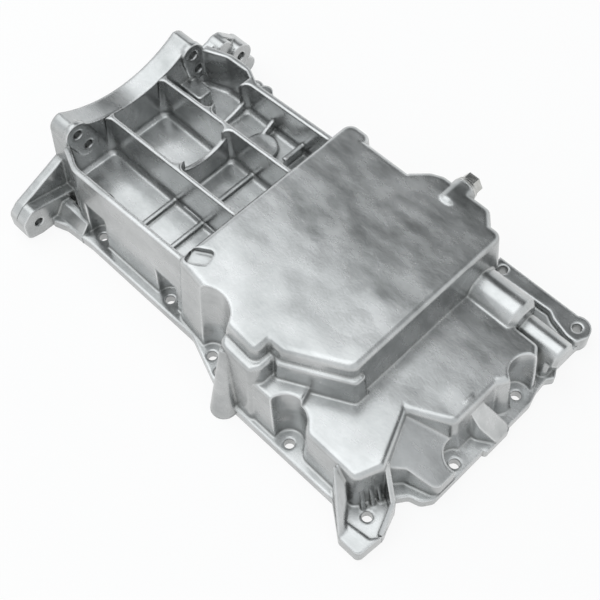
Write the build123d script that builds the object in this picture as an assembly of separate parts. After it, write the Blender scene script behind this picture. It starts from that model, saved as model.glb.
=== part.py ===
"""Cast engine oil pan with its drain plug and sealing washer, in millimetres.

The pan stands on its gasket face with the sump up. +X runs from the bell housing
end to the front cover end, +Z points away from the engine block, and the crank
centre line is at Y = 0. The origin is under the middle of the pan, on the gasket face.
"""

import math
import os

from build123d import *

# Overall size
half_length = 226.0
half_width = 148.0
sump_height = 100.0
wall = 5.0
overcut = 2.0

# Gasket rail
rail_thickness = 10.0
rail_bolt_r = 4.5
bolt_hole_height = 32.0
rear_rail_y = 106.0
near_rail_y = 128.0
far_rail_y = 134.0
front_rail_x = 223.0
rail_step_length = 34.0
rail_step_run = 9.5
rail_step_low_z = 8.0
rail_step_high_z = 21.0

# Bell housing flange
bell_thickness = 22.0
bell_half_top = 66.0
bell_half_base = 84.0
bell_top_z = 100.0
bell_arc_dip = 19.0
bell_corner_r = 12.0
bell_bolt_r = 4.75
bell_lobe_r = 12.0
bell_lobe_depth = 3.0
bell_holes_near = ((-67.0, 92.0), (-59.0, 73.0))
bell_holes_far = ((67.0, 88.0), (71.0, 68.0))

# Ears beside the bell housing flange
ear_thickness = 20.0
ear_plate = 9.0
near_ear_hole = (-126.0, 17.0)
near_ear_r = 15.0
far_ear_hole = (127.0, 38.0)
far_ear_r = 13.0
far_ear_upper = (111.0, 54.0)
far_ear_upper_r = 10.0
far_ear_foot_r = 10.0
far_ear_foot_z = 13.0

# Ribbed pockets between the bell housing flange and the sump
pocket_draft = 2.4
pocket_near_y = 97.0
near_jog = 12.0
near_jog_x = -178.0
pocket_far_y = 86.0
far_bulge = 10.0
pocket_top_rear = 86.0
pocket_top_front = 96.0
pocket_wall = 4.5
rib_thickness = 3.6
rib_y = 31.0
pocket_floor = 40.0
mid_floor = 50.0
far_floor = 54.0
pocket_bevel = 3.5
floor_rib_height = 4.0
pocket_mouth_z = 106.0
lip_draft = 4.4
cross_web_x = -114.0
cross_web_dip = 12.0
far_web_x = -143.0

# Sump
sump_draft = 4.0
sump_rear_x = -39.0
sump_front_x = 131.0
sump_far_y = 104.0
sump_edge_r = 6.0

# Near side of the sump
ledge_z = 85.0
platform_z = 65.0
near_draft = 3.5
deck_z = 57.0
deck_draft = 6.0

# Front bolt shoulder, lug and tubes
shoulder_rear_z = 46.0
shoulder_front_z = 25.0
lug_rear_x = 196.0
lug_rear_z = 59.5
lug_front_z = 12.0
large_tube_r = 18.0
large_tube_y = 80.0
large_tube_z = 52.0
large_tube_start_x = 122.0
large_tube_end_x = 181.0
small_tube_r = 12.5
small_tube_y = 83.0
small_tube_z = 38.0
small_tube_start_x = 151.0
small_tube_skirt_x = 216.0

# Corner bracket
bracket_floor_z = 10.0
bracket_base_z = 14.0
bracket_rim = 4.0
far_lip_z = 18.0

# Leaning finger on the near side
finger_foot = Vector(42, -129, 0)
finger_top = Vector(38.5, -118, 80)
finger_foot_r = 12.5
finger_top_r = 3.5

# Bolt clearances, all around rail bolts
clearance_r = 13.0

# Drain boss, plug and washer
drain_x = 76.0
drain_z = 91.0
drain_boss_r = 11.5
drain_face_y = 121.0
plug_shank_r = 7.0
plug_running_clearance = 0.05
plug_shank_length = 16.0
plug_head_across_flats = 17.0
plug_head_length = 8.0
plug_flange_r = 10.5
plug_flange_length = 2.0
washer_r = 11.0
washer_thickness = 1.8

rear_x = -half_length
bell_inner_x = rear_x + bell_thickness

near_bolts = ((-156.0, -93.0), (-63.0, -95.0), (4.0, -107.0), (19.0, -113.0), (108.0, -118.0))
corner_bolt = (195.0, -119.0)
front_bolts = ((214.0, -38.0), (210.0, 43.0))
far_bolts = ((-175.0, 114.0), (-120.0, 97.0), (-62.0, 97.0), (18.0, 113.5), (126.0, 125.5))
far_lobe_bolt = (208.0, 124.0)

# Blocks of the body: outline at the top, corner radii, top height, draft in degrees
sump_blocks = (
    (((sump_rear_x, -95), (-12, -98), (34, -109), (67, -111), (67, 97), (sump_rear_x, 97)),
     (7, 30, 30, 7, 8, 8), sump_height, sump_draft, sump_edge_r),
    (((20, -96), (80, -96), (sump_front_x, -68), (sump_front_x, 97), (20, 97)),
     (8, 8, 9, 8, 8), sump_height, sump_draft, sump_edge_r),
    (((sump_rear_x, 40), (-13, 40), (-13, sump_far_y), (sump_rear_x, sump_far_y)),
     (8, 8, 8, 10), sump_height, sump_draft, sump_edge_r),
    (((40, 60), (sump_front_x, 60), (sump_front_x, sump_far_y), (40, sump_far_y)),
     (8, 8, 8, 8), sump_height, sump_draft, sump_edge_r),
    (((33, 60), (120, 60), (120, 102), (107, 116), (58, 116), (47, 111), (33, 97)),
     (8, 8, 7, 8, 10, 10, 7), sump_height, sump_draft, sump_edge_r),
)
near_blocks = (
    (((22, -100), (36, -119), (68, -120), (74, -112), (74, -80), (22, -80)),
     (6, 12, 5, 5, 6, 6), ledge_z, near_draft, 4),
    (((72, -97), (80, -101), (136, -71), (136, -60), (100, -60), (72, -80)),
     (3, 3, 5, 3, 3, 3), ledge_z + 1, near_draft, 2),
    (((50, -119), (110, -119), (108, -100), (102, -83), (100, -70), (50, -70)),
     (5, 5, 10, 8, 5, 5), platform_z, near_draft, 3),
    (((116, -106), (127, -117), (180, -118), (189, -95), (169, -49), (140, 0), (90, 0), (90, -106)),
     (8, 8, 8, 7, 12, 6, 6, 6), deck_z, near_draft, 5),
    (((110, -52), (169, -49), (203, -31), (203, 68), (110, 68)),
     (6, 12, 7, 10, 6), deck_z, deck_draft, 5),
    (((150, 17), (203, 17), (209, 26), (211, 58), (204, 68), (150, 68)),
     (6, 8, 10, 6, 6, 6), deck_z, deck_draft, 5),
)

# Tool clearances: niches close over at their own height, scoops run out at the top
niches = ((near_bolts[0][0], near_bolts[0][1], 49.0), (near_bolts[1][0], near_bolts[1][1], 44.0))
scoops = (
    (near_bolts[2], 112.0, 28.0, (10.5, -119.5)),
    (near_bolts[3], 78.0, 14.0, (21, -121)),
    (near_bolts[4], 70.0, 18.0, (107, -120)),
    (front_bolts[0], 60.0, 15.0, (220, -34)),
    (front_bolts[1], 60.0, 17.0, (216, 43)),
)
top_recess = ((-34, -94), (-17, -82), (-22, -68), (-40, -79))
recess_depth = 6.0
far_columns = ((-152.0, 107.0, 8.0, 45.0), (-175.0, 114.0, 9.5, 28.0))


def prism(points, radii, height, base=0.0):
    """Upright prism from a plan outline whose corners are rounded."""
    return extrude(Pos(0, 0, base) * plan(points, radii), height)


def plan(points, radii):
    """Closed plan outline with one corner radius, or one radius for each corner."""
    face = make_face(Polyline(*points, close=True))
    if isinstance(radii, (int, float)):
        radii = [radii] * len(points)
    for point, radius in zip(points, radii):
        if radius > 0:
            corner = face.vertices().sort_by_distance((point[0], point[1], 0))[0]
            face = fillet(corner, radius)
    return face


def grown(points, amount):
    """Outline, counter-clockwise, with every side moved outwards by one amount."""
    moved = []
    for index, point in enumerate(points):
        before = Vector(*point) - Vector(*points[index - 1])
        after = Vector(*points[(index + 1) % len(points)]) - Vector(*point)
        first = Vector(before.Y, -before.X).normalized()
        second = Vector(after.Y, -after.X).normalized()
        step = (first + second) * (amount / (1 + first.dot(second)))
        moved.append((point[0] + step.X, point[1] + step.Y))
    return moved


def frustum(points, top_z, draft, base_z=0.0):
    """Flat-sided drafted solid below an outline at its top, and its base outline."""
    low = grown(points, math.tan(math.radians(draft)) * (top_z - base_z))
    high_ring = [(x, y, top_z) for x, y in points]
    low_ring = [(x, y, base_z) for x, y in low]
    faces = [make_face(Polyline(*high_ring, close=True)), make_face(Polyline(*low_ring, close=True))]
    for index in range(len(points)):
        back = index - 1
        ring = (low_ring[back], low_ring[index], high_ring[index], high_ring[back])
        faces.append(make_face(Polyline(*ring, close=True)))
    return Solid(Shell(faces)), low


def edge_near(solid, target):
    return solid.edges().sort_by(lambda edge: (edge.center() - Vector(*target)).length)[0]


def drafted(points, radii, top_z, draft, edge_r=0.0):
    """Drafted block on the gasket plane with rounded corners and a rounded top edge."""
    solid, low = frustum(points, top_z, draft)
    for high_point, low_point, radius in zip(points, low, radii):
        if radius > 0:
            middle = ((high_point[0] + low_point[0]) / 2, (high_point[1] + low_point[1]) / 2, top_z / 2)
            solid = fillet(edge_near(solid, middle), radius)
    if edge_r > 0:
        solid = fillet(solid.edges().filter_by_position(Axis.Z, top_z - 0.01, top_z + 0.01), edge_r)
    return solid


def hollow(points, radii, top_z, draft, edge_r=0.0):
    """Inside of a drafted block, one wall thickness in from every face."""
    return frustum(grown(points, -wall), top_z - wall, draft, -overcut)[0]


def along_x(points, radii, start_x, length):
    """Prism from a (Y, Z) outline, running along +X."""
    face = plan(points, radii)
    plane = Plane(origin=(start_x, 0, 0), x_dir=(0, 1, 0), z_dir=(1, 0, 0))
    return extrude(plane * face, length)


def rod_x(y, z, radius, start_x, length):
    """Cylinder along +X."""
    plane = Plane(origin=(start_x, y, z), x_dir=(0, 1, 0), z_dir=(1, 0, 0))
    return extrude(plane * Circle(radius), length)


def rod_y(x, z, radius, start_y, length):
    """Cylinder along +Y."""
    plane = Plane(origin=(x, start_y, z), x_dir=(1, 0, 0), z_dir=(0, 1, 0))
    return extrude(plane * Circle(radius), length)


def web(start, end, start_z, end_z, thickness, base=0.0):
    """Upright wall between two plan points, with a sloping top edge."""
    run = Vector(end[0] - start[0], end[1] - start[1])
    plane = Plane(origin=(start[0], start[1], 0), x_dir=(run.X, run.Y, 0), z_dir=(run.Y, -run.X, 0))
    side = make_face(Polyline((0, base), (run.length, base), (run.length, end_z), (0, start_z), close=True))
    return extrude(plane * side, thickness / 2, both=True)


def under(low_x, low_z, high_x, high_z, reach=400.0):
    """Everything below a plane that tilts along X through two heights."""
    slope = (high_z - low_z) / (high_x - low_x)
    start_z = low_z - slope * (low_x + reach)
    end_z = low_z + slope * (reach - low_x)
    return along_y([(-reach, -reach), (reach, -reach), (reach, end_z), (-reach, start_z)], -reach, 2 * reach)


def along_y(points, start_y, length):
    """Prism from an (X, Z) outline, running along +Y."""
    plane = Plane(origin=(0, start_y, 0), x_dir=(1, 0, 0), z_dir=(0, -1, 0))
    return extrude(plane * make_face(Polyline(*points, close=True)), -length)


def clearance(bolt, top_z, top_r, top_at):
    """Tool clearance above a rail bolt: a leaning cone that starts on top of the rail."""
    lean = Vector(top_at[0] - bolt[0], top_at[1] - bolt[1], top_z - rail_thickness)
    plane = Plane(origin=Vector(*bolt, rail_thickness) - lean * 0.1, z_dir=lean)
    spread = (top_r - clearance_r) * 0.1
    cone = Solid.make_cone(clearance_r - spread, top_r, lean.length * 1.1, plane)
    return cone & bar(bolt[0] - 60, bolt[0] + 60, bolt[1] - 60, bolt[1] + 60, rail_thickness, top_z - 2)


def make_rail():
    outline = [
        (rear_x, -rear_rail_y), (-204, -114), (-190, -109), (-158, -rear_rail_y), (-22, -rear_rail_y),
        (18, -121), (46, -near_rail_y), (162, -near_rail_y), (186, -near_rail_y), (200, -94),
        (207, -84), (217, -81), (front_rail_x, -72), (front_rail_x, 46), (219, 60), (218, 71),
        (front_rail_x, 78), (217, 88), (217, 110), (218, far_rail_y), (60, far_rail_y), (10, 123),
        (-10, 117), (-44, 117), (-56, rear_rail_y), (-134, rear_rail_y), (-152, 117), (-163, 124), (-187, 124),
        (-197, rear_rail_y), (rear_x, rear_rail_y),
    ]
    radii = [0, 6, 4, 6, 12, 20, 20, 0, 4, 4, 6, 8, 6, 4, 4, 4, 3, 4, 4, 9, 20, 20, 8, 8, 8, 12, 8, 8, 8, 6, 0]
    return prism(outline, radii, rail_thickness)


def make_bell_flange():
    mid_z = bell_top_z - bell_arc_dip
    left = Line((-bell_half_base, 0), (-bell_half_base + 4, 60))
    shoulder = Line(left @ 1, (-bell_half_top - bell_corner_r, bell_top_z - bell_corner_r))
    corner = RadiusArc(shoulder @ 1, (-bell_half_top, bell_top_z), bell_corner_r)
    dip = ThreePointArc(corner @ 1, (0, mid_z), (bell_half_top, bell_top_z))
    far_corner = RadiusArc(dip @ 1, (bell_half_top + bell_corner_r, bell_top_z - bell_corner_r), bell_corner_r)
    far_shoulder = Line(far_corner @ 1, (bell_half_base - 4, 60))
    far_left = Line(far_shoulder @ 1, (bell_half_base, 0))
    base = Line(far_left @ 1, left @ 0)
    face = make_face([left, shoulder, corner, dip, far_corner, far_shoulder, far_left, base])
    plane = Plane(origin=(rear_x, 0, 0), x_dir=(0, 1, 0), z_dir=(1, 0, 0))
    return extrude(plane * face, bell_thickness)


def make_near_ear():
    """Plate against the flange with a thicker, lower block that holds the near hole."""
    y = near_ear_hole[0]
    end_y = y - near_ear_r
    plate = along_x(
        [(-80, 0), (y, 0), (end_y, 4), (end_y, 26), (y - 6, 34), (-80, 56)],
        [0, 4, 8, 10, 6, 0], rear_x, ear_plate)
    block = along_x(
        [(-80, 0), (y, 0), (end_y, 4), (end_y, 25), (y - 4, 35), (-80, 24)],
        [0, 4, 8, 9, 8, 0], rear_x, ear_thickness)
    return plate + block


def make_far_ear():
    """Plate against the flange with three bosses, the middle one drilled."""
    y, z = far_ear_hole
    upper_y, upper_z = far_ear_upper
    foot_y = half_width - far_ear_foot_r
    plate = along_x(
        [(80, 0), (foot_y, 2), (half_width - 1, far_ear_foot_z), (y + far_ear_r - 2, z + 6),
         (upper_y + 6, upper_z + 10), (upper_y - 8, upper_z + 7), (80, 56)],
        [0, 4, 6, 6, 6, 8, 0], rear_x, ear_plate)
    hole_boss = rod_x(y, z, far_ear_r, rear_x, ear_thickness)
    upper_boss = rod_x(upper_y, upper_z, far_ear_upper_r, rear_x, ear_thickness - 4)
    foot_boss = rod_x(foot_y, far_ear_foot_z, far_ear_foot_r, rear_x, ear_thickness - 5)
    return plate + hole_boss + upper_boss + foot_boss


def make_rail_step():
    """Sloping step beside the near ear, between the pocket wall and the rail."""
    inner_y = -pocket_near_y - 1
    outer_y = inner_y - rail_step_run
    profile = [(inner_y + 8, 0), (outer_y, 0), (outer_y, rail_step_low_z), (inner_y, rail_step_high_z),
               (inner_y + 8, rail_step_high_z)]
    return along_x(profile, 0, bell_inner_x - overcut, rail_step_length + overcut)


def make_bell_lobes():
    """Raised pad around each pair of upper flange holes."""
    start_x = bell_inner_x - overcut
    depth = bell_lobe_depth + overcut
    pads = []
    for upper, lower in (bell_holes_near, bell_holes_far):
        along = Vector(lower[0] - upper[0], lower[1] - upper[1]).normalized() * bell_lobe_r
        corners = [(upper[0] + along.Y, upper[1] - along.X), (upper[0] - along.Y, upper[1] + along.X),
                   (lower[0] - along.Y, lower[1] + along.X), (lower[0] + along.Y, lower[1] - along.X)]
        pads.append(along_x(corners, 0, start_x, depth))
        pads.append(rod_x(*upper, bell_lobe_r, start_x, depth))
        pads.append(rod_x(*lower, bell_lobe_r, start_x, depth))
    return pads


def pocket_slope():
    """Everything below the sloping plane of the rib tops."""
    return under(bell_inner_x, pocket_top_rear, sump_rear_x, pocket_top_front)


def pocket(points, radii, floor_z):
    """Space of one open pocket, bevelled along its floor."""
    space = prism(points, radii, pocket_mouth_z - floor_z, floor_z)
    return chamfer(space.edges().filter_by_position(Axis.Z, floor_z - 0.01, floor_z + 0.01), pocket_bevel)


def bar(low_x, high_x, low_y, high_y, low_z, high_z):
    """Plain straight-sided block between two corners."""
    size = (high_x - low_x, high_y - low_y, high_z - low_z)
    middle = ((low_x + high_x) / 2, (low_y + high_y) / 2, (low_z + high_z) / 2)
    return Pos(*middle) * Box(*size)


def dipped_web(x, low_y, high_y, low_z, low_top, high_top, dip):
    """Cross web whose top edge sags between its two ends."""
    middle = ((low_y + high_y) / 2, (low_top + high_top) / 2 - dip)
    base = Line((low_y, low_z), (high_y, low_z))
    side = Line(base @ 1, (high_y, high_top))
    sag = ThreePointArc(side @ 1, middle, (low_y, low_top))
    face = make_face([base, side, sag, Line(sag @ 1, base @ 0)])
    plane = Plane(origin=(x - rib_thickness / 2, 0, 0), x_dir=(0, 1, 0), z_dir=(1, 0, 0))
    return extrude(plane * face, rib_thickness)


def make_pocket_body():
    outline = [
        (bell_inner_x - overcut, -pocket_near_y + near_jog), (near_jog_x, -pocket_near_y), (0, -pocket_near_y),
        (0, pocket_far_y), (-132, pocket_far_y), (-152, pocket_far_y + far_bulge),
        (-176, pocket_far_y + far_bulge), (bell_inner_x - overcut, pocket_far_y + 2),
    ]
    radii = [0, 20, 0, 0, 20, 20, 16, 0]
    top = grown(outline, -math.tan(math.radians(pocket_draft)) * pocket_mouth_z)
    solid = drafted(top, radii, pocket_mouth_z, pocket_draft) & pocket_slope()
    near_lip = -pocket_near_y + pocket_wall + lip_draft
    far_lip = pocket_far_y - pocket_wall - lip_draft
    rib_low = rib_y - rib_thickness / 2
    rib_high = rib_y + rib_thickness / 2
    near_pocket = pocket(
        [(bell_inner_x, near_lip + near_jog), (near_jog_x, near_lip), (0, near_lip), (0, -rib_high),
         (bell_inner_x, -rib_high)],
        [8, 20, 0, 0, 8], pocket_floor)
    for x, y, top_z in niches:
        near_pocket -= niche(x, y, clearance_r + wall + 1, top_z + wall)
    middle_rear = pocket(
        [(bell_inner_x, -rib_low), (cross_web_x, -rib_low), (cross_web_x, rib_low), (bell_inner_x, rib_low)],
        [8, 8, 8, 8], pocket_floor)
    middle_front = pocket(
        [(cross_web_x, -rib_low), (0, -rib_low), (0, rib_low), (cross_web_x, rib_low)],
        [8, 0, 0, 8], mid_floor)
    far_outline = [
        (bell_inner_x, rib_high), (far_web_x, rib_high), (far_web_x, far_lip + 6), (-152, far_lip + far_bulge),
        (-178, far_lip + far_bulge), (bell_inner_x, far_lip),
    ]
    far_rear = pocket(far_outline, [8, 8, 0, 0, 16, 8], pocket_floor + 2)
    far_front = pocket(
        [(far_web_x, rib_high), (0, rib_high), (0, far_lip), (far_web_x, far_lip)],
        [8, 0, 0, 8], far_floor)
    solid = solid - near_pocket - middle_rear - middle_front - far_rear - far_front
    ribs = [
        bar(-122, -118, near_lip - 1, -rib_low, pocket_floor - 1, pocket_floor + floor_rib_height),
        bar(-86, -82, near_lip - 1, -rib_low, pocket_floor - 1, pocket_floor + floor_rib_height),
        bar(-87, -83, -rib_high, rib_high, mid_floor - 1, mid_floor + floor_rib_height),
        dipped_web(cross_web_x, -rib_high, rib_high, pocket_floor - 1, 88, 88, cross_web_dip),
        dipped_web(far_web_x, rib_low, far_lip + 6, pocket_floor - 1, 60, 72, 5),
        web((-108, far_lip + 2), (-108, 58), 68, 57, rib_thickness, far_floor - 1),
        bar(-72, -68, 53, far_lip + 2, far_floor - 1, 65),
        Pos(-98, 52, far_floor - 1) * Cylinder(15, 7, align=(Align.CENTER, Align.CENTER, Align.MIN)),
        prism([(-210, 50), (-178, 50), (-178, 66), (-210, 66)], [0, 3, 3, 0], 60),
    ]
    for x, y, r, top_z in far_columns:
        ribs.append(Pos(x, y, 0) * extrude(Circle(r), top_z))
    return solid + ribs


def make_sump():
    solid = drafted(*sump_blocks[0])
    for shape in sump_blocks[1:]:
        solid += drafted(*shape)
    return solid


def make_shoulder():
    shoulder = prism(
        [(165, -52), (203, -31), (222.5, -44), (222.5, -70), (196, -78), (184, -92)],
        [0, 6, 6, 8, 6, 0], 60) & under(178, shoulder_rear_z, 223, shoulder_front_z)
    lug = prism(
        [(lug_rear_x, -14), (213, -10), (half_length, -1.5), (half_length, 17), (213, 9), (lug_rear_x, -3)],
        [3, 0, 3, 3, 0, 3], 70) & under(lug_rear_x, lug_rear_z, half_length, lug_front_z)
    foot = prism([(210, -16), (half_length, -13), (half_length, 17), (210, 17)], [0, 3, 3, 0], rail_thickness)
    return [shoulder, lug, foot]


def arch(y, z, radius, start_x, end_x, end_r):
    """Round-topped ridge running along +X, standing on the gasket plane, with a rounded end."""
    base = Line((y - radius, 0), (y + radius, 0))
    side = Line(base @ 1, (y + radius, z))
    crown = ThreePointArc(side @ 1, (y, z + radius), (y - radius, z))
    face = make_face([base, side, crown, Line(crown @ 1, base @ 0)])
    plane = Plane(origin=(start_x, 0, 0), x_dir=(0, 1, 0), z_dir=(1, 0, 0))
    ridge = extrude(plane * face, end_x - start_x)
    end_edges = ridge.edges().filter_by_position(Axis.X, end_x - 0.01, end_x + 0.01)
    return chamfer([edge for edge in end_edges if edge.center().Z > 1], end_r)


def make_tubes():
    nose = rod_x(small_tube_y, small_tube_z, small_tube_r, small_tube_start_x, front_rail_x - small_tube_start_x)
    return [
        arch(large_tube_y, large_tube_z, large_tube_r, large_tube_start_x, large_tube_end_x, 5),
        arch(small_tube_y, small_tube_z, small_tube_r, small_tube_start_x, small_tube_skirt_x, 3),
        chamfer(nose.edges().group_by(Axis.X)[-1], 3),
    ]


def make_far_lip():
    x, y = far_lobe_bolt
    lip = prism(
        [(116, 117), (132, 119), (181, 121), (188, 117), (206, 112), (217, 112), (218, far_rail_y),
         (116, far_rail_y)],
        [0, 4, 3, 4, 4, 4, 9, 0], far_lip_z)
    return [lip, Pos(x, y, 0) * extrude(Circle(12), far_lip_z)]


def make_bracket():
    floor = prism(
        [(162, -125), (192, -half_width), (213, -half_width), (215, -121), (206, -100), (198, -88), (165, -92)],
        [0, 4, 5, 6, 4, 0, 0], bracket_floor_z)
    tip = prism(
        [(184, -135), (192, -half_width), (213, -half_width), (215, -124), (210, -131.5), (186, -134.5)],
        [0, 4, 5, 0, 0, 0], bracket_base_z)
    broad_wall = prism(
        [(162, -112), (161, -122), (192, -half_width), (200, -half_width), (186, -134.5), (180, -126),
         (172, -120), (168, -110)],
        [0, 0, 4, 0, 0, 0, 0, 0], 70) & under(161, deck_z - 1, 192, bracket_base_z)
    return [
        floor, tip, broad_wall,
        web((186, -90), (206, -102), deck_z - 3, 27, bracket_rim, 0),
        web((205, -101), (213.5, -124), 27.5, bracket_base_z, bracket_rim, 0),
        web((182, -113), (190, -117), 38, bracket_floor_z, 3, 0),
        web((185, -106), (193, -109), 38, bracket_floor_z, 3, 0),
        web((187, -100), (195, -102), 38, bracket_floor_z, 3, 0),
    ]


def make_drain_boss():
    boss = rod_y(drain_x, drain_z, drain_boss_r, 93, drain_face_y - 93)
    return fillet(boss.edges().group_by(Axis.Y)[0], 6)


def make_finger():
    """Leaning tapered finger that climbs the near side from the rail."""
    lean = finger_top - finger_foot
    plane = Plane(origin=finger_foot - lean * 0.05, z_dir=lean)
    cone = Solid.make_cone(finger_foot_r, finger_top_r, lean.length * 1.05, plane)
    return cone & bar(0, 80, -160, -100, 0, 120)


def niche(x, y, radius, top_z):
    return Pos(x, y, rail_thickness) * extrude(Circle(radius), top_z - rail_thickness)


def boss(x, y, radius, top_z):
    """Solid that stays inside the cavity around a bolt, from the gasket face up."""
    return Pos(x, y, -overcut) * extrude(Circle(radius), top_z + overcut)


def make_cavity():
    cavity = hollow(*sump_blocks[0])
    for shape in sump_blocks[1:] + near_blocks[:1] + near_blocks[2:]:
        cavity += hollow(*shape)
    rear_x_in = bell_inner_x + wall
    front_x_in = sump_rear_x + 2 * wall
    under_pockets = [
        (rear_x_in, front_x_in, -pocket_near_y + wall + 1, -rib_y, pocket_floor),
        (rear_x_in, front_x_in, -rib_y - 1, rib_y + 1, pocket_floor),
        (cross_web_x + wall, front_x_in, -rib_y - 1, rib_y + 1, mid_floor),
        (rear_x_in, front_x_in, rib_y, pocket_far_y - wall - 1, pocket_floor + 2),
        (far_web_x + wall, front_x_in, rib_y, pocket_far_y - wall - 1, far_floor),
    ]
    for start_x, end_x, low_y, high_y, floor_z in under_pockets:
        cavity += bar(start_x, end_x, low_y, high_y, -overcut, floor_z - wall)
    for x, y, top_z in niches:
        cavity -= boss(x, y, clearance_r + wall, top_z + wall)
    for bolt, top_z, top_r, top_at in (scoops[0], scoops[2]):
        cavity -= boss(*top_at, top_r + wall, sump_height)
    for x, y in front_bolts:
        cavity -= boss(x, y, clearance_r + wall, sump_height)
    cavity -= rod_y(drain_x, drain_z, drain_boss_r, drain_face_y - plug_shank_length, plug_shank_length)
    cavity -= prism(grown(top_recess, wall), 4, 20, sump_height - recess_depth - wall)
    return cavity


def make_holes():
    holes = []
    for x, y in near_bolts + (corner_bolt,) + front_bolts + far_bolts + (far_lobe_bolt,):
        holes.append(Pos(x, y, -overcut) * extrude(Circle(rail_bolt_r), bolt_hole_height))
    for y, z in bell_holes_near + bell_holes_far + (near_ear_hole, far_ear_hole):
        holes.append(rod_x(y, z, bell_bolt_r, rear_x - overcut, bell_thickness + bell_lobe_depth + 2 * overcut))
    holes.append(rod_y(drain_x, drain_z, plug_shank_r + plug_running_clearance,
                       drain_face_y - plug_shank_length - overcut, plug_shank_length + 2 * overcut))
    holes.append(prism(top_recess, 4, 20, sump_height - recess_depth))
    return holes


def make_casting():
    body = make_rail()
    pieces = [make_bell_flange(), make_near_ear(), make_far_ear(), make_rail_step()]
    pieces += [*make_bell_lobes(), make_pocket_body(), make_sump()]
    pieces += [drafted(*shape) for shape in near_blocks]
    pieces += [*make_shoulder(), *make_tubes(), *make_far_lip(), *make_bracket()]
    pieces += [make_finger(), make_drain_boss()]
    for piece in pieces:
        body += piece
    body -= make_cavity()
    for x, y, top_z in niches:
        body -= niche(x, y, clearance_r, top_z)
    for scoop in scoops:
        body -= clearance(*scoop)
    for hole in make_holes():
        body -= hole
    return body


def make_plug():
    """Drain plug standing out of the boss, its head towards +Y."""
    seat_y = drain_face_y + washer_thickness
    shank = rod_y(drain_x, drain_z, plug_shank_r, seat_y - plug_shank_length, plug_shank_length)
    flange = rod_y(drain_x, drain_z, plug_flange_r, seat_y, plug_flange_length)
    plane = Plane(origin=(drain_x, seat_y, drain_z), x_dir=(1, 0, 0), z_dir=(0, 1, 0))
    across_corners_r = plug_head_across_flats / 2 / math.cos(math.pi / 6)
    head = extrude(plane * RegularPolygon(across_corners_r, 6), plug_flange_length + plug_head_length)
    return shank + flange + head


def make_washer():
    ring = rod_y(drain_x, drain_z, washer_r, drain_face_y, washer_thickness)
    return ring - rod_y(drain_x, drain_z, plug_shank_r + plug_running_clearance, drain_face_y - overcut,
                        washer_thickness + 2 * overcut)


os.makedirs("parts", exist_ok=True)
export_step(make_casting(), "parts/pan_casting.step")
export_step(make_plug(), "parts/drain_plug.step")
export_step(make_washer(), "parts/drain_plug_washer.step")
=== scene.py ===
import bpy
import math
from mathutils import Matrix, Vector

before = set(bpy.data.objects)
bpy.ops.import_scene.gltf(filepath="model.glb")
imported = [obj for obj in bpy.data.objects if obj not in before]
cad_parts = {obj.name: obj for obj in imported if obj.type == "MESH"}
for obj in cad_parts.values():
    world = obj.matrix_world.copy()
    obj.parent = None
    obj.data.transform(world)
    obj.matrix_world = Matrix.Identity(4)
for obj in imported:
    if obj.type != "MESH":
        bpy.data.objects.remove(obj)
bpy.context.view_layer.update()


# Camera
cameraSettings = {
    "aim": (0.036, -0.033, 0.050),
    "distance": 0.940,
    "azimuth": 47.16,
    "elevation": 58.57,
    "roll": -2.38,
    "lens": 68.23,
    "sensorWidth": 36.0,
    "clipStart": 0.01,
}


def addCamera(settings):
    azimuth = math.radians(settings["azimuth"])
    elevation = math.radians(settings["elevation"])
    back = Vector((math.sin(azimuth) * math.cos(elevation),
                   -math.cos(azimuth) * math.cos(elevation), math.sin(elevation)))
    right = Vector((math.cos(azimuth), math.sin(azimuth), 0.0))
    up = back.cross(right)
    turn = Matrix((right, up, back)).transposed().to_4x4()
    roll = Matrix.Rotation(math.radians(settings["roll"]), 4, "Z")
    stand = Matrix.Translation(Vector(settings["aim"]) + back * settings["distance"])
    data = bpy.data.cameras.new("view")
    data.lens = settings["lens"]
    data.sensor_width = settings["sensorWidth"]
    data.clip_start = settings["clipStart"]
    camera = bpy.data.objects.new("view", data)
    bpy.context.scene.collection.objects.link(camera)
    camera.matrix_world = stand @ turn @ roll
    bpy.context.scene.camera = camera


addCamera(cameraSettings)
print("camera set")


# Helpers for node trees: a value moved to another range, two values combined, and two colours blended
def addFade(tree, value, span, reach=(0.0, 1.0), smooth=False):
    fade = tree.nodes.new("ShaderNodeMapRange")
    if smooth:
        fade.interpolation_type = "SMOOTHSTEP"
    fade.inputs["From Min"].default_value, fade.inputs["From Max"].default_value = span
    fade.inputs["To Min"].default_value, fade.inputs["To Max"].default_value = reach
    tree.links.new(value, fade.inputs["Value"])
    return fade.outputs[0]


def addMath(tree, operation, first, second):
    node = tree.nodes.new("ShaderNodeMath")
    node.operation = operation
    for socket, value in zip(node.inputs, (first, second)):
        if isinstance(value, float):
            socket.default_value = value
        else:
            tree.links.new(value, socket)
    return node.outputs[0]


def addBlend(tree, factor, first, second, kind="MIX"):
    node = tree.nodes.new("ShaderNodeMix")
    node.data_type = "RGBA"
    node.blend_type = kind
    for name, value in (("Factor", factor), ("A", first), ("B", second)):
        if isinstance(value, float):
            node.inputs[name].default_value = value
        elif isinstance(value, tuple):
            node.inputs[name].default_value = (*value, 1)
        else:
            tree.links.new(value, node.inputs[name])
    return node.outputs["Result"]


# Room: pale all round, with a dark patch high up on the far side
roomSettings = {
    "horizonColor": (0.955, 0.965, 0.97),
    "paleColor": (0.83, 0.85, 0.865),
    "darkColor": (0.055, 0.058, 0.058),
    "horizonSpan": (0.12, 0.34),
    "darkAcross": (0.325, 0.465),
    "darkAbove": (0.42, 0.62),
    "strength": 1.0,
}


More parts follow.
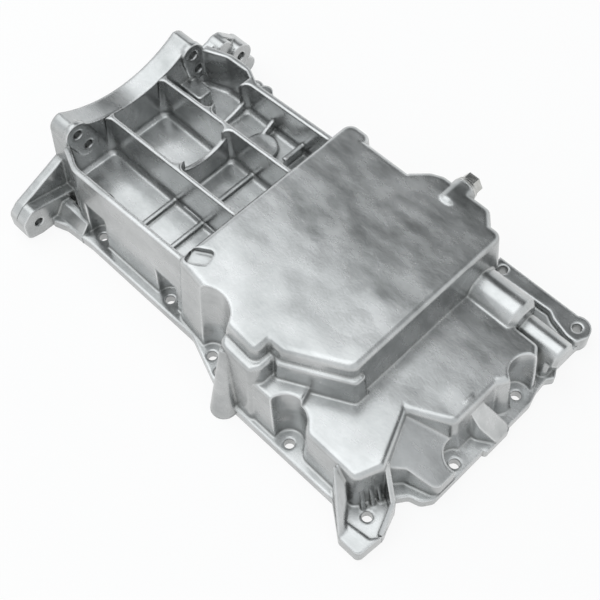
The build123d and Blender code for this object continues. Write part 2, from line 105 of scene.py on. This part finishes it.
def addRoom(settings):
    world = bpy.data.worlds.new("room")
    bpy.context.scene.world = world
    world.use_nodes = True
    tree = world.node_tree
    tree.nodes.clear()
    output = tree.nodes.new("ShaderNodeOutputWorld")
    backdrop = tree.nodes.new("ShaderNodeBackground")
    coordinates = tree.nodes.new("ShaderNodeTexCoord")
    split = tree.nodes.new("ShaderNodeSeparateXYZ")
    tree.links.new(coordinates.outputs["Generated"], split.inputs[0])
    height = addFade(tree, split.outputs["Z"], settings["horizonSpan"], smooth=True)
    across = addFade(tree, split.outputs["Y"], settings["darkAcross"], smooth=True)
    above = addFade(tree, split.outputs["Z"], settings["darkAbove"], smooth=True)
    patch = addMath(tree, "MULTIPLY", across, above)
    pale = addBlend(tree, height, settings["horizonColor"], settings["paleColor"])
    color = addBlend(tree, patch, pale, settings["darkColor"])
    tree.links.new(color, backdrop.inputs["Color"])
    backdrop.inputs["Strength"].default_value = settings["strength"]
    tree.links.new(backdrop.outputs[0], output.inputs["Surface"])


# Ceiling: one wide soft panel overhead
ceilingSettings = {
    "at": (-0.42, -0.19, 1.10),
    "aim": (-0.42, -0.19, 0.0),
    "size": (1.3, 1.2),
    "color": (0.97, 0.99, 1.0),
    "power": 4.3,
}


def addLamp(name, settings):
    data = bpy.data.lights.new(name, "AREA")
    data.shape = "RECTANGLE"
    data.size, data.size_y = settings["size"]
    data.energy = settings["power"]
    data.color = settings["color"]
    lamp = bpy.data.objects.new(name, data)
    bpy.context.scene.collection.objects.link(lamp)
    lamp.location = settings["at"]
    aim = Vector(settings["aim"]) - Vector(settings["at"])
    lamp.rotation_euler = aim.to_track_quat("-Z", "Y").to_euler()


addRoom(roomSettings)
addLamp("ceiling", ceilingSettings)
bpy.context.scene.view_settings.view_transform = "Standard"
print("lights set")

# Metal skin, used by every piece: each noise with its grain, the part of its range that is spread out,
# and how strong it gets. Each material sets the scales itself.
skinNoises = {
    "Blotch": {"scale": 16.0, "detail": 7.0, "roughness": 0.62, "span": (0.30, 0.70), "most": 1.0},
    "Smear": {"scale": 30.0, "detail": 4.0, "roughness": 0.58, "span": (0.30, 0.70), "most": 1.0},
    "Wave": {"scale": 20.0, "detail": 1.0, "roughness": 0.35, "span": (0.30, 0.70), "most": 1.0},
    "Grain": {"scale": 400.0, "detail": 3.0, "roughness": 0.55, "span": (0.30, 0.70), "most": 1.0},
    "Scratch": {"scale": 40.0, "detail": 2.0, "roughness": 0.60, "span": (0.69, 0.80), "most": 0.5},
}
skinStretches = {
    "Smear": {"turn": 35.0, "stretch": (1.0, 2.4, 1.6)},     # short, drawn out patches
    "Scratch": {"turn": -28.0, "stretch": (1.0, 16.0, 4.0)},  # long thin lines
}
# Painted shade: faces are darkened more as they turn from upper faces to sides, over this span
sideShadeSpan = (0.75, 0.15)  # how far up a face looks, from an upper face to a side


def makeMetalSkin():
    group = bpy.data.node_groups.new("metalSkin", "ShaderNodeTree")
    for name, noise in skinNoises.items():
        socket = group.interface.new_socket(name + " Scale", in_out="INPUT",
                                            socket_type="NodeSocketFloat")
        socket.default_value = noise["scale"]
    for name in (*skinNoises, "Side"):
        group.interface.new_socket(name, in_out="OUTPUT", socket_type="NodeSocketFloat")
    entry = group.nodes.new("NodeGroupInput")
    leave = group.nodes.new("NodeGroupOutput")
    coordinates = group.nodes.new("ShaderNodeTexCoord")
    for name, noise in skinNoises.items():
        place = coordinates.outputs["Object"]
        if name in skinStretches:
            drawn = group.nodes.new("ShaderNodeMapping")
            turn = math.radians(skinStretches[name]["turn"])
            drawn.inputs["Rotation"].default_value = (0.0, 0.0, turn)
            drawn.inputs["Scale"].default_value = skinStretches[name]["stretch"]
            group.links.new(place, drawn.inputs["Vector"])
            place = drawn.outputs[0]
        cloud = group.nodes.new("ShaderNodeTexNoise")
        cloud.inputs["Detail"].default_value = noise["detail"]
        cloud.inputs["Roughness"].default_value = noise["roughness"]
        group.links.new(place, cloud.inputs["Vector"])
        group.links.new(entry.outputs[name + " Scale"], cloud.inputs["Scale"])
        spread = addFade(group, cloud.outputs["Fac"], noise["span"], (0.0, noise["most"]))
        group.links.new(spread, leave.inputs[name])
    # Painted shade: this output grows as a face turns from upward to upright, and darkens its colour
    geometry = group.nodes.new("ShaderNodeNewGeometry")
    split = group.nodes.new("ShaderNodeSeparateXYZ")
    group.links.new(geometry.outputs["Normal"], split.inputs[0])
    sideShadeMask = addFade(group, split.outputs["Z"], sideShadeSpan, smooth=True)
    group.links.new(sideShadeMask, leave.inputs["Side"])
    return group


# Edge wear and painted light, used by every piece: rubbed outer edges with a painted highlight, painted
# shade in creases, and a softened normal
wearAndShadeSettings = {
    "radius": 0.002,            # each material sets its own
    "bevelSamples": 8,
    "edgeSpan": (0.99, 0.80),   # how well the softened normal still matches the true one
    "openSamples": 6,
    "openReach": 2.0,           # how many radii around a point are tested
    "outerSpan": (0.80, 0.97),  # open enough to be an outer edge
    # Painted shade: how shut in a point must be for its crease to be darkened
    "creaseShadeSpan": (0.85, 0.45),  # shut in enough to be a crease
}


def makeEdgeWearAndShade(settings):
    group = bpy.data.node_groups.new("edgeWearAndShade", "ShaderNodeTree")
    socket = group.interface.new_socket("Radius", in_out="INPUT", socket_type="NodeSocketFloat")
    socket.default_value = settings["radius"]
    group.interface.new_socket("EdgeBareAndHighlight", in_out="OUTPUT", socket_type="NodeSocketFloat")
    group.interface.new_socket("CreaseShade", in_out="OUTPUT", socket_type="NodeSocketFloat")
    group.interface.new_socket("Normal", in_out="OUTPUT", socket_type="NodeSocketVector")
    entry = group.nodes.new("NodeGroupInput")
    leave = group.nodes.new("NodeGroupOutput")
    bevel = group.nodes.new("ShaderNodeBevel")
    bevel.samples = settings["bevelSamples"]
    group.links.new(entry.outputs["Radius"], bevel.inputs["Radius"])
    geometry = group.nodes.new("ShaderNodeNewGeometry")
    match = group.nodes.new("ShaderNodeVectorMath")
    match.operation = "DOT_PRODUCT"
    group.links.new(bevel.outputs[0], match.inputs[0])
    group.links.new(geometry.outputs["Normal"], match.inputs[1])
    turned = addFade(group, match.outputs["Value"], settings["edgeSpan"])
    openness = group.nodes.new("ShaderNodeAmbientOcclusion")
    openness.samples = settings["openSamples"]
    openness.only_local = True
    reach = addMath(group, "MULTIPLY", entry.outputs["Radius"], settings["openReach"])
    group.links.new(reach, openness.inputs["Distance"])
    # Outer edges get bare metal with a painted highlight; creases get painted shade
    outer = addFade(group, openness.outputs["AO"], settings["outerSpan"])
    creaseShadeMask = addFade(group, openness.outputs["AO"], settings["creaseShadeSpan"])
    edgeBareAndHighlightMask = addMath(group, "MULTIPLY", turned, outer)
    group.links.new(edgeBareAndHighlightMask, leave.inputs["EdgeBareAndHighlight"])
    group.links.new(creaseShadeMask, leave.inputs["CreaseShade"])
    group.links.new(bevel.outputs[0], leave.inputs["Normal"])
    return group


metalSkin = makeMetalSkin()
edgeWearAndShade = makeEdgeWearAndShade(wearAndShadeSettings)


def addBump(tree, height, distance, normal):
    bump = tree.nodes.new("ShaderNodeBump")
    bump.inputs["Distance"].default_value = distance
    tree.links.new(height, bump.inputs["Height"])
    tree.links.new(normal, bump.inputs["Normal"])
    return bump.outputs[0]


def makeMetal(name, settings):
    material = bpy.data.materials.new(name)
    material.use_nodes = True
    tree = material.node_tree
    shader = tree.nodes["Principled BSDF"]
    skin = tree.nodes.new("ShaderNodeGroup")
    skin.node_tree = metalSkin
    for noise in skinNoises:
        skin.inputs[noise + " Scale"].default_value = settings[noise.lower() + "Scale"]
    wearAndShade = tree.nodes.new("ShaderNodeGroup")
    wearAndShade.node_tree = edgeWearAndShade
    wearAndShade.inputs["Radius"].default_value = settings["edgeRadius"]

    # Colour: clouds, smears, painted shade on upright sides, painted shade in creases, then bare metal
    # in scratches and bare metal with a painted highlight on outer edges
    color = addBlend(tree, skin.outputs["Blotch"], settings["darkColor"], settings["color"])
    color = addBlend(tree, settings["smearStrength"], color, skin.outputs["Smear"], "SOFT_LIGHT")
    color = addBlend(tree, skin.outputs["Side"], color, settings["sideShadeColor"], "MULTIPLY")
    color = addBlend(tree, wearAndShade.outputs["CreaseShade"], color, settings["creaseShadeColor"], "MULTIPLY")
    bareAndHighlightMask = addMath(tree, "MAXIMUM", wearAndShade.outputs["EdgeBareAndHighlight"], skin.outputs["Scratch"])
    color = addBlend(tree, bareAndHighlightMask, color, settings["edgeBareAndHighlightColor"])
    tree.links.new(color, shader.inputs["Base Color"])

    shader.inputs["Metallic"].default_value = settings["metallic"]
    polish = addFade(tree, skin.outputs["Smear"], (0.0, 1.0), settings["roughness"])
    tree.links.new(polish, shader.inputs["Roughness"])

    waves = addBump(tree, skin.outputs["Wave"], settings["waveHeight"], wearAndShade.outputs["Normal"])
    pits = addBump(tree, skin.outputs["Grain"], settings["grainHeight"], waves)
    tree.links.new(pits, shader.inputs["Normal"])
    return material


def dress(node, material):
    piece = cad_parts[node]
    piece.data.materials.clear()
    piece.data.materials.append(material)


# Pan casting
castingSettings = {
    "color": (0.665, 0.675, 0.675),
    "darkColor": (0.455, 0.468, 0.466),
    # The edge, side and crease colours below give bare metal with a painted highlight on outer edges,
    # painted shade on upright faces and painted shade in creases
    "edgeBareAndHighlightColor": (0.76, 0.77, 0.77),
    "sideShadeColor": (0.78, 0.78, 0.78),
    "creaseShadeColor": (0.72, 0.72, 0.71),
    "metallic": 0.88,
    "roughness": (0.19, 0.31),
    "blotchScale": 16.0,
    "smearScale": 30.0,
    "smearStrength": 0.30,
    "waveScale": 24.0,
    "grainScale": 420.0,
    "scratchScale": 32.0,
    "waveHeight": 0.00045,
    "grainHeight": 0.000014,
    "edgeRadius": 0.0038,
}
dress("pan_casting", makeMetal("castAluminium", castingSettings))

# Drain plug
plugSettings = {
    "color": (0.60, 0.60, 0.58),
    "darkColor": (0.44, 0.44, 0.42),
    # The edge, side and crease colours below give bare metal with a painted highlight on outer edges,
    # painted shade on upright faces and painted shade in creases
    "edgeBareAndHighlightColor": (0.75, 0.75, 0.73),
    "sideShadeColor": (0.92, 0.92, 0.92),
    "creaseShadeColor": (0.75, 0.74, 0.72),
    "metallic": 1.0,
    "roughness": (0.20, 0.34),
    "blotchScale": 60.0,
    "smearScale": 150.0,
    "smearStrength": 0.30,
    "waveScale": 90.0,
    "grainScale": 900.0,
    "scratchScale": 160.0,
    "waveHeight": 0.0001,
    "grainHeight": 0.00001,
    "edgeRadius": 0.0006,
}
dress("drain_plug", makeMetal("platedSteel", plugSettings))

# Sealing washer
washerSettings = {
    "color": (0.72, 0.72, 0.70),
    "darkColor": (0.58, 0.58, 0.56),
    # The edge, side and crease colours below give bare metal with a painted highlight on outer edges,
    # painted shade on upright faces and painted shade in creases
    "edgeBareAndHighlightColor": (0.80, 0.80, 0.78),
    "sideShadeColor": (0.92, 0.92, 0.92),
    "creaseShadeColor": (0.75, 0.74, 0.72),
    "metallic": 1.0,
    "roughness": (0.30, 0.42),
    "blotchScale": 90.0,
    "smearScale": 200.0,
    "smearStrength": 0.25,
    "waveScale": 120.0,
    "grainScale": 1200.0,
    "scratchScale": 220.0,
    "waveHeight": 0.00005,
    "grainHeight": 0.00001,
    "edgeRadius": 0.0003,
}
dress("drain_plug_washer", makeMetal("softAluminium", washerSettings))
print("metals set")

# Floor: white paper that keeps a faint shadow
floorSettings = {
    "half": 8.0,
    "level": -0.0005,
    "color": (0.92, 0.93, 0.93),
    "white": (1.0, 1.0, 1.0),
    "whiteShare": 0.88,  # how much plain white the camera and the reflections see in place of the paper
}


def addFloor(settings):
    half = settings["half"]
    mesh = bpy.data.meshes.new("floor")
    corners = [(-half, -half, 0), (half, -half, 0), (half, half, 0), (-half, half, 0)]
    mesh.from_pydata(corners, [], [(0, 1, 2, 3)])
    floor = bpy.data.objects.new("floor", mesh)
    bpy.context.scene.collection.objects.link(floor)
    floor.location.z = settings["level"]
    material = bpy.data.materials.new("whitePaper")
    material.use_nodes = True
    tree = material.node_tree
    tree.nodes.clear()
    output = tree.nodes.new("ShaderNodeOutputMaterial")
    paper = tree.nodes.new("ShaderNodeBsdfDiffuse")
    paper.inputs["Color"].default_value = (*settings["color"], 1)
    white = tree.nodes.new("ShaderNodeEmission")
    white.inputs["Color"].default_value = (*settings["white"], 1)
    path = tree.nodes.new("ShaderNodeLightPath")
    seen = path.outputs["Is Camera Ray"]
    for ray in ("Is Glossy Ray", "Is Transmission Ray"):
        seen = addMath(tree, "MAXIMUM", seen, path.outputs[ray])
    share = addMath(tree, "MULTIPLY", seen, settings["whiteShare"])
    mix = tree.nodes.new("ShaderNodeMixShader")
    tree.links.new(share, mix.inputs["Fac"])
    tree.links.new(paper.outputs[0], mix.inputs[1])
    tree.links.new(white.outputs[0], mix.inputs[2])
    tree.links.new(mix.outputs[0], output.inputs["Surface"])
    mesh.materials.append(material)


addFloor(floorSettings)
print("floor set")
